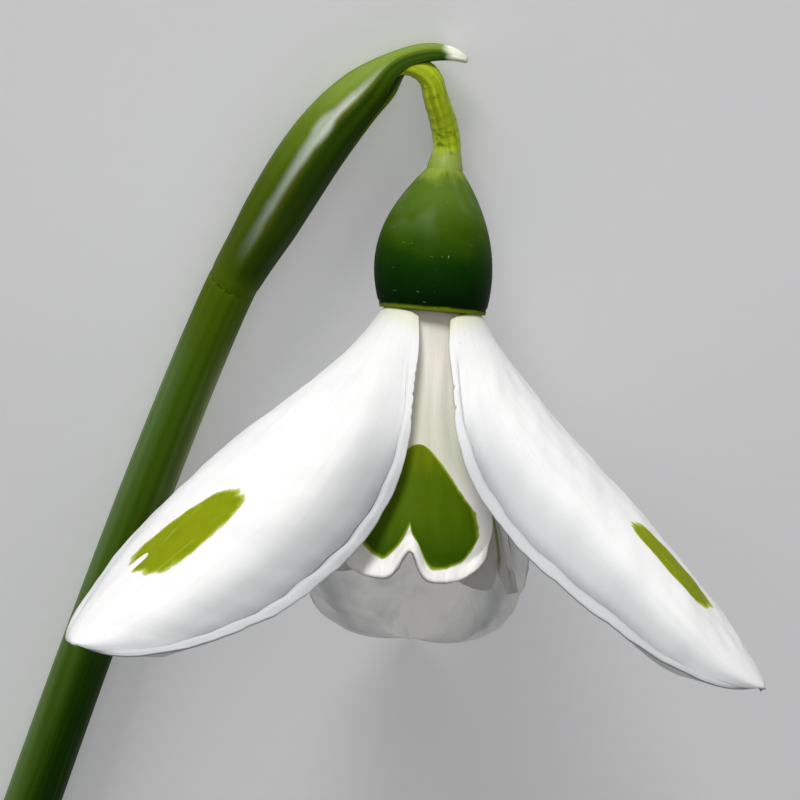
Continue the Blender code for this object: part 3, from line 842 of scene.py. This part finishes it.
# %% The finish of the ovary
OVARY_DARK, OVARY_LOW = (0.0014, 0.0115, 0.0002), (0.0040, 0.0300, 0.0004)
OVARY_MID, OVARY_HIGH = (0.038, 0.088, 0.0015), (0.085, 0.150, 0.014)
OVARY_NECK, OVARY_GREY = (0.25, 0.34, 0.045), (0.105, 0.165, 0.050)
RIM_GREEN, SCRATCH = (0.14, 0.19, 0.004), (0.34, 0.44, 0.27)


def ovary_wax():
    material, nodes = new_material("ovary_wax")
    uv, _, s = nodes.surface_map()
    skin = nodes.effect("skin", Map=uv, Across=150.0, Along=90.0)
    mottle = nodes.cloud(uv, 12.0, 6.0, 4.0)
    level = nodes.plus(s, nodes.drift(mottle, 0.22))
    ragged = nodes.plus(s, nodes.drift(mottle, 0.03))
    bloom = nodes.times(nodes.remap(nodes.cloud(uv, 5.0, 3.0, 2.0), 0.48, 0.62), nodes.remap(s, 0.45, 0.75))
    lines = nodes.math("MAXIMUM", nodes.cloud(uv, 30.0, 90.0, 1.0), nodes.cloud(uv, 110.0, 26.0, 1.0))
    patches = nodes.remap(nodes.cloud(uv, 11.0, 6.0, 1.0), 0.54, 0.62)
    scratch = nodes.times(nodes.remap(lines, 0.72, 0.77), patches)
    marks = nodes.math("MAXIMUM", scratch, nodes.times(skin["Specks"], 0.35))
    colour = nodes.layers(
        OVARY_DARK,
        (nodes.remap(level, 0.02, 0.32), OVARY_LOW),
        (nodes.remap(level, 0.26, 0.60), OVARY_MID),
        (nodes.remap(level, 0.50, 0.84), OVARY_HIGH),
        (nodes.times(bloom, 0.8), OVARY_GREY),
        (nodes.remap(level, 0.86, 1.0), OVARY_NECK),
        (nodes.remap(ragged, 0.010, 0.032, 1.0, 0.0), RIM_GREEN),
        (nodes.times(marks, 0.6), SCRATCH),
    )
    rough = nodes.remap(mottle, 0.3, 0.7, 0.42, 0.56)
    height = nodes.plus(nodes.times(skin["Cells"], 0.2), nodes.times(mottle, 0.8))
    close_material(nodes, colour, rough, height, 0.03, Specular_IOR_Level=0.03)
    return material


piece("ovary_body", bent_grid(OVARY_ROWS, OVARY_COLUMNS, ovary_place, tube=True), [ovary_wax()],
      "ovary_green", "ovary")

# %% [markdown]
# ## The stalk: scape and spathe
# The scape is the leafless stalk, faintly striped under a grey bloom. At its top the spathe wraps
# round the pedicel: two green keels joined by a thin pale skin. Both share one centre line that
# runs straight and then curls over, so one formula gives the heading at any distance.

# %% The centre line on the table
# Headings are in degrees from +X towards +Y. The spathe's foot is measured from the head's origin.
SPATHE_FOOT = (-11.2, -2.2)
SCAPE_LENGTH, SPATHE_LENGTH = 57.4, 20.8
CUT_HEADING, FOOT_HEADING, TIP_HEADING = 73.5, 64.0, -10.0
SCAPE_BEND, SPATHE_CURL = 0.2, 3.5
CUT_RADIUS, SCAPE_TOP_RADIUS = 1.75, 1.45
SPATHE_STOPS, SPATHE_RADII = (0.0, 0.25, 0.6, 0.8, 0.93, 1.0), (1.5, 1.8, 1.7, 1.25, 1.0, 0.5)
SPATHE_TIP_HEIGHT, SPATHE_WALL = 1.5, 0.25  # its line never comes nearer to the table than this height
LINE_STEPS = 800


def stalk_line():
    """Distances from the spathe's foot, with the point and the radius at each, in millimetres."""
    d = np.linspace(-SCAPE_LENGTH, SPATHE_LENGTH, LINE_STEPS + 1)
    middle = (d[1:] + d[:-1]) / 2
    before, after = np.clip(-middle / SCAPE_LENGTH, 0, 1), np.clip(middle / SPATHE_LENGTH, 0, 1)
    heading = FOOT_HEADING + (CUT_HEADING - FOOT_HEADING) * before**SCAPE_BEND
    heading = np.radians(heading + (TIP_HEADING - FOOT_HEADING) * after**SPATHE_CURL)
    step = d[1] - d[0]
    x = np.concatenate([[0], np.cumsum(np.cos(heading)) * step])
    y = np.concatenate([[0], np.cumsum(np.sin(heading)) * step])
    x += HEAD_ORIGIN.x / MM + SPATHE_FOOT[0] - np.interp(0, d, x)
    y += HEAD_ORIGIN.y / MM + SPATHE_FOOT[1] - np.interp(0, d, y)
    scape = SCAPE_TOP_RADIUS + (CUT_RADIUS - SCAPE_TOP_RADIUS) * np.clip(-d / SCAPE_LENGTH, 0, 1)
    spathe = smooth_curve(np.clip(d / SPATHE_LENGTH, 0, 1), SPATHE_STOPS, SPATHE_RADII)
    radius = scape + (spathe - scape) * ease(d, -2.0, 5.0)
    height = radius + (np.maximum(radius, SPATHE_TIP_HEIGHT) - radius) * ease(d, -5.0, 1.0)
    return d, np.stack([x, y, height], 1), radius


STALK = stalk_line()


def along_line(line, distance):
    """Point, direction and radius of a line at each distance."""
    d, points, radius = line
    spot = np.stack([np.interp(distance, d, points[:, k]) for k in range(3)], 1)
    slopes = np.gradient(points, d, axis=0)
    direction = np.stack([np.interp(distance, d, slopes[:, k]) for k in range(3)], 1)
    direction /= np.linalg.norm(direction, axis=1, keepdims=True)
    return spot, direction, np.interp(distance, d, radius)


def round_line(line, distance, angle, swell):
    """Points round a line. Angle 0 is on its left, and 90 degrees on top."""
    centre, direction, radius = along_line(line, distance)
    left = np.cross([0, 0, 1], direction)
    left /= np.linalg.norm(left, axis=1, keepdims=True)
    above = np.cross(direction, left)
    ray = left * np.cos(angle)[:, None] + above * np.sin(angle)[:, None]
    return (centre + ray * (radius + swell)[:, None]) * MM


print("stalk length (mm):", round(SCAPE_LENGTH + SPATHE_LENGTH, 1))

# %% The finish of the scape: stripes under a grey bloom, with painted light and shade across it
# The grey bloom is partly the scape's real bloom and partly a painted highlight on the flank nearer the
# light. The dark green is painted shade on the far flank, fading out towards the top.
BLOOM_AND_HIGHLIGHT, BLOOM_BRIGHT = (0.150, 0.235, 0.090), (0.300, 0.380, 0.150)
STEM_GREEN, STEM_SHADE = (0.065, 0.135, 0.006), (0.014, 0.052, 0.0012)
STEM_OLIVE, PITH = (0.075, 0.130, 0.0015), (0.42, 0.50, 0.24)


def scape_bloom():
    """Grey bloom on one flank that is also a painted highlight there, painted shade over the far flank, and
    a second, brighter bloom near the top.
    """
    material, nodes = new_material("scape_bloom")
    uv, t, s = nodes.surface_map()
    veins = nodes.effect("veins", Map=uv, Count=14.0, Waviness=0.02)
    skin = nodes.effect("skin", Map=uv, Across=60.0, Along=420.0)
    place = nodes.plus(t, nodes.drift(veins["Broad"], 0.35))
    flank = nodes.remap(place, -0.55, -0.12, 1.0, 0.0)
    second = nodes.times(nodes.remap(place, 0.05, 0.30), nodes.bump_at(s, 0.83, 0.22))
    colour = nodes.layers(
        STEM_GREEN,
        # Painted shade on the far flank, then the bloom with its painted highlight.
        (nodes.times(nodes.remap(place, -0.30, 0.0), nodes.remap(s, 0.45, 0.80, 1.0, 0.0)), STEM_SHADE),
        (nodes.times(flank, nodes.remap(s, 0.90, 0.98, 0.9, 0.25)), BLOOM_AND_HIGHLIGHT),
        (nodes.times(second, 0.95), BLOOM_BRIGHT),
        (nodes.times(nodes.remap(s, 0.86, 0.97), 0.85), STEM_OLIVE),
        (nodes.remap(veins["Fine"], 0.5, 0.75, 0.0, 0.35), STEM_GREEN),
    )
    height = nodes.plus(veins["Fine"], nodes.times(skin["Cells"], 0.25))
    rough = nodes.remap(veins["Broad"], 0.3, 0.7, 0.45, 0.60)
    close_material(nodes, colour, rough, height, 0.03, Specular_IOR_Level=0.04)
    return material


def cut_pith():
    """The cut face: pale pith with a ring of darker strands near the skin."""
    material, nodes = new_material("scape_cut")
    centre = along_line(STALK, np.array([-SCAPE_LENGTH]))[0][0] * MM
    place = nodes.add("Mapping", Vector=nodes.add("TexCoord").outputs["Object"])
    place.inputs["Location"].default_value = [-value for value in centre]
    length = nodes.add("VectorMath", {"operation": "LENGTH"})
    nodes.feed(length.inputs[0], place.outputs[0])
    radius = length.outputs["Value"]
    strands = nodes.add("TexVoronoi", Vector=place.outputs[0], Scale=2600.0)
    ring = nodes.bump_at(radius, CUT_RADIUS * 0.72 * MM, CUT_RADIUS * 0.30 * MM)
    dots = nodes.times(nodes.remap(strands.outputs["Distance"], 0.15, 0.45, 1.0, 0.0), ring)
    colour = nodes.layers(
        PITH,
        (nodes.times(dots, 0.7), STEM_GREEN),
        (nodes.remap(radius, CUT_RADIUS * 0.86 * MM, CUT_RADIUS * 0.97 * MM), STEM_GREEN),
    )
    close_material(nodes, colour, 0.4, strands.outputs["Distance"], 0.04, Specular_IOR_Level=0.4)
    return material


# %% Make the scape. Its top is tucked into the spathe
SCAPE_TUCK, TUCK_NARROWS = 0.6, 0.30  # the hidden length, and how much slimmer it gets
CUT_RIM, CUT_HOLLOW = 0.25, 0.10  # the pith sinks a little inside a rim
SCAPE_ROWS, SCAPE_COLUMNS = 240, 72


def scape_place(s, t):
    distance = -SCAPE_LENGTH + s * (SCAPE_LENGTH + SCAPE_TUCK)
    ribs = 0.02 * np.cos(t * pi * 14) - 0.04 - TUCK_NARROWS * ease(distance, 0.0, SCAPE_TUCK)
    return round_line(STALK, distance, t * pi + pi / 2, ribs)


scape = bent_grid(SCAPE_ROWS, SCAPE_COLUMNS, scape_place, tube=True)
cut_end = min(scape.faces, key=lambda face: face.calc_center_median().y)
cut_end.material_index = 1
bmesh.ops.inset_individual(scape, faces=[cut_end], thickness=CUT_RIM * MM, depth=-CUT_HOLLOW * MM)
print("cut end, lowest y (mm):", round(min(vertex.co.y for vertex in scape.verts) / MM, 2))
piece("scape_stalk", scape, [scape_bloom(), cut_pith()], "scape_green", "scape")

# %% [markdown]
# ## The spathe's skin and keels
# Seen from above, the spathe shows an olive keel, a whitish strip of skin and then a darker keel.
# The strip is recessed a little and is thinner than the rest. All of this is a matter of how far
# round the sheath a point lies, which the grid's own map already holds.

# %% Shape of the spathe
SLIT_SIDE = 150.0
SLIT_STOPS, SLIT_HALF_ANGLES = (0.0, 0.6, 0.75, 0.83, 0.9, 1.0), (6.0, 12.0, 30.0, 84.0, 95.0, 92.0)
SKIN_STRIP, STRIP_DEPTH = 0.52, 0.10
TIP_ROUND, TIP_NARROWS, FOOT_TUCK = 0.955, 0.30, 0.05
SPATHE_ROWS, SPATHE_COLUMNS = 200, 130


def spathe_place(s, t):
    opening = smooth_curve(s, SLIT_STOPS, SLIT_HALF_ANGLES)
    angle = np.radians(SLIT_SIDE + 180 + t * (180 - opening))
    recess = STRIP_DEPTH * ridge(t, SKIN_STRIP, 0.08) * ease(s, 0.08, 0.2) * (1 - ease(s, 0.6, 0.8))
    ribs = 0.02 * np.cos(t * 30) * ease(s, 0.05, 0.2)
    tip = TIP_NARROWS * (1 - np.sqrt(1 - np.clip((s - TIP_ROUND) / (1 - TIP_ROUND), 0, 0.99) ** 2))
    swell = ribs - recess - SPATHE_WALL / 2 - 0.06 * ease(s, 0.05, 0.2) - tip
    tucked = FOOT_TUCK * (1 - ease(s, 0.0, 0.03))  # its foot grows out of the scape without a step
    return round_line(STALK, s * SPATHE_LENGTH, angle, swell - tucked)


# %% The finish of the spathe, outside and inside
KEEL_OLIVE, KEEL_LIGHT = (0.062, 0.110, 0.002), (0.165, 0.250, 0.018)
KEEL_DARK, EDGE_BLOOM_AND_HIGHLIGHT = (0.024, 0.064, 0.0008), (0.22, 0.31, 0.07)
SKIN_PALE, SKIN_BRIGHT, SKIN_LINE = (0.25, 0.30, 0.21), (0.54, 0.60, 0.48), (0.095, 0.080, 0.006)
TIP_CREAM, HOOD_INSIDE = (0.80, 0.82, 0.66), (0.15, 0.22, 0.05)
CREAM_START, CREAM_FULL = 0.938, 0.962


def spathe_skin():
    material, nodes = new_material("spathe_skin")
    uv, t, s = nodes.surface_map()
    veins = nodes.effect("veins", Map=uv, Count=14.0, Waviness=0.04)
    skin = nodes.effect("skin", Map=uv, Across=110.0, Along=200.0)
    wobble = nodes.cloud(uv, 3.0, 9.0)
    bulge = nodes.times(nodes.bump_at(s, 0.58, 0.06), 0.03)
    width = nodes.plus(nodes.remap(wobble, 0.3, 0.7, 0.036, 0.058), bulge)
    away = nodes.minus(t, SKIN_STRIP)
    strip = nodes.remap(nodes.minus(width, nodes.math("ABSOLUTE", away)), -0.05, 0.03)
    length = nodes.times(nodes.remap(s, 0.08, 0.30), nodes.remap(s, 0.66, 0.84, 1.0, 0.0))
    membrane = nodes.mix(nodes.remap(s, 0.25, 0.62), SKIN_PALE, SKIN_BRIGHT)
    line = nodes.times(nodes.bump_at(away, 0.085, 0.04), nodes.remap(s, 0.15, 0.3))
    # A paler band along the upper side of the olive keel: partly pale bloom, partly a painted highlight
    # where the light falls.
    bloom_and_highlight_band = nodes.times(nodes.bump_at(t, 0.30, 0.28), nodes.remap(s, 0.50, 0.80))
    end = nodes.plus(s, nodes.drift(wobble, 0.06))
    colour = nodes.layers(
        KEEL_OLIVE,
        (nodes.remap(s, 0.30, 0.75), KEEL_LIGHT),
        (nodes.remap(t, SKIN_STRIP + 0.02, SKIN_STRIP + 0.16), KEEL_DARK),
        (nodes.remap(veins["Broad"], 0.45, 0.7, 0.0, 0.35), KEEL_OLIVE),
        (nodes.times(line, 0.55), SKIN_LINE),
        (nodes.times(strip, length), membrane),
        # Pale bloom with a painted highlight along the upper keel.
        (nodes.times(bloom_and_highlight_band, 0.6), EDGE_BLOOM_AND_HIGHLIGHT),
        (nodes.remap(s, 0.0, 0.10, 1.0, 0.0), STEM_OLIVE),
        (nodes.remap(end, CREAM_START, CREAM_FULL), TIP_CREAM),
    )
    height = nodes.plus(veins["Fine"], nodes.times(skin["Cells"], 0.3))
    rough = nodes.remap(veins["Broad"], 0.3, 0.7, 0.40, 0.55)
    close_material(nodes, colour, rough, height, 0.025, Specular_IOR_Level=0.05)
    return material


def hood_lining():
    material, nodes = new_material("spathe_lining")
    uv, _, s = nodes.surface_map()
    veins = nodes.effect("veins", Map=uv, Count=22.0, Waviness=0.03)
    colour = nodes.layers(
        HOOD_INSIDE,
        (nodes.remap(veins["Fine"], 0.4, 0.7, 0.0, 0.6), KEEL_OLIVE),
        (nodes.remap(s, CREAM_START, CREAM_FULL), TIP_CREAM),
    )
    close_material(nodes, colour, 0.55, veins["Fine"], 0.03, Specular_IOR_Level=0.15)
    return material


# %% Make the spathe
spathe = piece("spathe_sheath", bent_grid(SPATHE_ROWS, SPATHE_COLUMNS, spathe_place),
               [spathe_skin(), hood_lining()], "spathe_green", "spathe")
thicken(spathe, SPATHE_WALL)

# %% [markdown]
# ## The pedicel
# This thin yellow-green stalk runs inside the spathe, leaves it near the tip and arches over to
# the ovary. Where it bends, the skin is gathered in fine cross wrinkles with dark green blotches.
# A pale collar joins it to the ovary.

# %% The pedicel's line
PEDICEL_START, PEDICEL_LEAVES = 0.3, 15.8
ARCH_CENTRE, ARCH_RADIUS = (-1.4, 10.8), 1.5
ARCH_START, ARCH_END, ARCH_HEIGHTS = 115.0, 0.0, (1.65, 2.25)
PEDICEL_RADII, PEDICEL_END_RADIUS, PEDICEL_STRAIGHT_END = (0.6, 0.7), 0.8, 0.9
SEAT_GAP, PEDICEL_SUNK = 0.15, 0.25  # its end runs a little way into the ovary
KNOTS = 5  # points inside the spathe, and again on the arch


def pedicel_knots():
    inner, _, _ = along_line(STALK, np.linspace(PEDICEL_START, PEDICEL_LEAVES, KNOTS))
    part = np.linspace(0, 1, KNOTS)
    angle = np.radians(ARCH_START + (ARCH_END - ARCH_START) * part)
    arch = np.stack([
        HEAD_ORIGIN.x / MM + ARCH_CENTRE[0] + ARCH_RADIUS * np.cos(angle),
        HEAD_ORIGIN.y / MM + ARCH_CENTRE[1] + ARCH_RADIUS * np.sin(angle),
        ARCH_HEIGHTS[0] + (ARCH_HEIGHTS[1] - ARCH_HEIGHTS[0]) * part,
    ], 1)
    top = OVARY_HEIGHT + SEAT_GAP
    heights = top + PEDICEL_STRAIGHT_END, top - SEAT_GAP - PEDICEL_SUNK
    ends = on_head(np.array([[0, 0, height] for height in heights])) / MM
    slim, full = PEDICEL_RADII
    radii = np.concatenate([[slim] * KNOTS, slim + (full - slim) * part, [PEDICEL_END_RADIUS] * 2])
    return np.concatenate([inner, arch, ends]), radii


def pedicel_line():
    points, radii = pedicel_knots()
    stops = np.concatenate([[0], np.cumsum(np.linalg.norm(np.diff(points, axis=0), axis=1))])
    d = np.linspace(0, stops[-1], LINE_STEPS)
    fine = np.stack([smooth_curve(d, stops, points[:, k]) for k in range(3)], 1)
    return d, fine, smooth_curve(d, stops, radii)


PEDICEL = pedicel_line()
PEDICEL_LENGTH = float(PEDICEL[0][-1])
print("pedicel length (mm):", round(PEDICEL_LENGTH, 1))


# %% Shape of the pedicel
WRINKLE_HEIGHT, COLLAR_HEIGHT = 0.022, 0.22
PEDICEL_ROWS, PEDICEL_COLUMNS = 260, 48


def steady_frame(line, distance, angle, swell):
    """Points round a line that also rises and falls, turned from a side that never flips."""
    centre, direction, radius = along_line(line, distance)
    side = np.cross(direction, [0, 0, 1])
    side /= np.linalg.norm(side, axis=1, keepdims=True)
    above = np.cross(side, direction)
    ray = side * np.cos(angle)[:, None] + above * np.sin(angle)[:, None]
    return (centre + ray * (radius + swell)[:, None]) * MM


def pedicel_place(s, t):
    bent_part = ease(s, 0.58, 0.7) * (1 - ease(s, 0.93, 0.97))
    wrinkles = WRINKLE_HEIGHT * soft_waves(s * 95, t * 2.2, 5) * bent_part
    collar = COLLAR_HEIGHT * ease(s, 0.94, 1.0) ** 1.5
    return steady_frame(PEDICEL, s * PEDICEL_LENGTH, t * pi + pi / 2, wrinkles - 0.02 + collar)


# %% The finish of the pedicel
LIME, LIME_DEEP, BLOTCH_GREEN = (0.46, 0.58, 0.020), (0.27, 0.37, 0.008), (0.060, 0.130, 0.004)
COLLAR_PALE, LIME_EDGE = (0.26, 0.35, 0.06), (0.58, 0.66, 0.22)


def pedicel_lime():
    material, nodes = new_material("pedicel_lime")
    uv, t, s = nodes.surface_map()
    veins = nodes.effect("veins", Map=uv, Count=9.0, Waviness=0.04)
    bands = nodes.cloud(uv, 6.0, 34.0, 4.0)
    dark = nodes.times(nodes.remap(bands, 0.55, 0.68), nodes.remap(s, 0.72, 0.86))
    colour = nodes.layers(
        LIME,
        (nodes.remap(veins["Fine"], 0.35, 0.7), LIME_DEEP),
        (nodes.times(nodes.bump_at(t, -0.42, 0.20), 0.7), LIME_EDGE),
        (nodes.times(dark, 0.8), BLOTCH_GREEN),
        (nodes.remap(s, 0.94, 0.98), COLLAR_PALE),
    )
    height = nodes.math("MULTIPLY_ADD", veins["Fine"], 0.3, bands)
    rough = nodes.remap(bands, 0.3, 0.7, 0.36, 0.5)
    close_material(nodes, colour, rough, height, 0.05, Specular_IOR_Level=0.15, **FAINT_SCATTER)
    return material


piece("pedicel_stalk", bent_grid(PEDICEL_ROWS, PEDICEL_COLUMNS, pedicel_place, tube=True), [pedicel_lime()],
      "pedicel_green", "pedicel")

# %% [markdown]
# ## Stamens and style
# Six orange anthers and a slender style stand inside the cup, mostly hidden. Their modelled shape
# is right as it is, so they stay and only get better finishes, in Object coordinates.

# %% Finishes for the small inner pieces
ANTHER_ORANGE, ANTHER_DARK = (0.80, 0.40, 0.04), (0.52, 0.22, 0.02)
THREAD_PALE, THREAD_GREEN = (0.76, 0.79, 0.62), (0.46, 0.55, 0.26)


def grainy(name, light, dark, scale, roughness):
    material, nodes = new_material(name)
    place = nodes.add("TexCoord").outputs["Object"]
    grain = nodes.noise(place, scale, 4.0)
    colour = nodes.mix(nodes.remap(grain, 0.35, 0.65), light, dark)
    close_material(nodes, colour, roughness, grain, 0.05, Specular_IOR_Level=0.3)
    return material


INNER_WORKS = {
    "anther": grainy("anther_pollen", ANTHER_ORANGE, ANTHER_DARK, 3500.0, 0.7),
    "filament": grainy("filament_thread", THREAD_PALE, THREAD_GREEN, 2500.0, 0.5),
    "style": grainy("style_thread", THREAD_PALE, THREAD_GREEN, 1200.0, 0.45),
}
kept = []
for name, node in frame["nodes"].items():
    kind = name.split("_")[0]
    if kind in INNER_WORKS:
        node.data.materials.clear()
        node.data.materials.append(INNER_WORKS[kind])
        kept.append(name)
print("kept as modelled:", sorted(kept))

# %% [markdown]
# ## Table, light and camera
# White petals vanish on a white table, so the table is a calm pale grey. The key lamp stands low
# over the table, beyond the arch of the stalk, so that its light grazes the petals and shows their
# furrows. A weaker, wider lamp higher up and the room's own light fill the shade. The camera looks
# at a right angle to the flower's axis, from far off, so that nothing near the edges is stretched.

# %% The table
TABLE_GREY, TABLE_GLOW = (0.78, 0.78, 0.79, 1.0), 0.24  # the glow is the light of a lit studio sweep
TABLE_HALF_WIDTH = 1.5  # in metres


def make_table():
    table = bmesh.new()
    bmesh.ops.create_grid(table, x_segments=1, y_segments=1, size=TABLE_HALF_WIDTH)
    material, nodes = new_material("table_matt")
    grain = nodes.noise(nodes.add("TexCoord").outputs["Object"], 900.0, 2.0)
    close_material(nodes, TABLE_GREY, 0.8, grain, 0.01, Specular_IOR_Level=0.1,
                   Emission_Color=TABLE_GREY, Emission_Strength=TABLE_GLOW)
    top = put_in_scene("table", mesh_of("table", table, [material]))


make_table()

# %% The camera
LOOK_RIGHT = Vector((1, 0, 0))
LOOK_UP = Vector((0, cos(radians(HEAD_RISE)), -sin(radians(HEAD_RISE))))
LOOK_BACK = LOOK_RIGHT.cross(LOOK_UP)
CAMERA_DISTANCE, CAMERA_LENS, SENSOR_WIDTH = 400.0, 324.0, 36.0
AIM_LEFT, AIM_DOWN = 1.8, 4.95  # from the ovary's base to the middle of the view


def make_camera():
    target = HEAD_ORIGIN - (LOOK_RIGHT * AIM_LEFT + LOOK_UP * AIM_DOWN) * MM
    data = bpy.data.cameras.new("camera")
    data.lens, data.sensor_width = CAMERA_LENS, SENSOR_WIDTH
    data.clip_start, data.clip_end = 0.01, 10.0
    camera = put_in_scene("camera", data)
    turn = Matrix((LOOK_RIGHT, LOOK_UP, LOOK_BACK)).transposed().to_4x4()
    camera.matrix_world = Matrix.Translation(target + LOOK_BACK * CAMERA_DISTANCE * MM) @ turn
    bpy.context.scene.camera = camera
    return target


TARGET = make_camera()


# %% The lights
ROOM_LIGHT, ROOM_STRENGTH = (0.98, 0.98, 1.0, 1.0), 0.15


def soft_lamp(name, direction, distance, size, power):
    """A round lamp that faces the flower. Distance and size are in metres, power in watts."""
    data = bpy.data.lights.new(name, "AREA")
    data.shape, data.size, data.energy = "DISK", size, power
    lamp = put_in_scene(name, data)
    away = Vector(direction).normalized()
    turn = away.to_track_quat("Z", "Y").to_matrix().to_4x4()
    lamp.matrix_world = Matrix.Translation(TARGET + away * distance) @ turn


soft_lamp("key", (-0.14, 0.96, 0.20), 0.6, 0.20, 3.05)
soft_lamp("fill", (0.05, 0.62, 0.78), 0.7, 0.5, 0.7)
world = bpy.data.worlds.new("room")
world.use_nodes = True
world.node_tree.nodes["Background"].inputs["Color"].default_value = ROOM_LIGHT
world.node_tree.nodes["Background"].inputs["Strength"].default_value = ROOM_STRENGTH
bpy.context.scene.world = world
bpy.context.scene.view_settings.view_transform = "Standard"

# %% Bring the scene up to date and finish
bpy.context.view_layer.update()
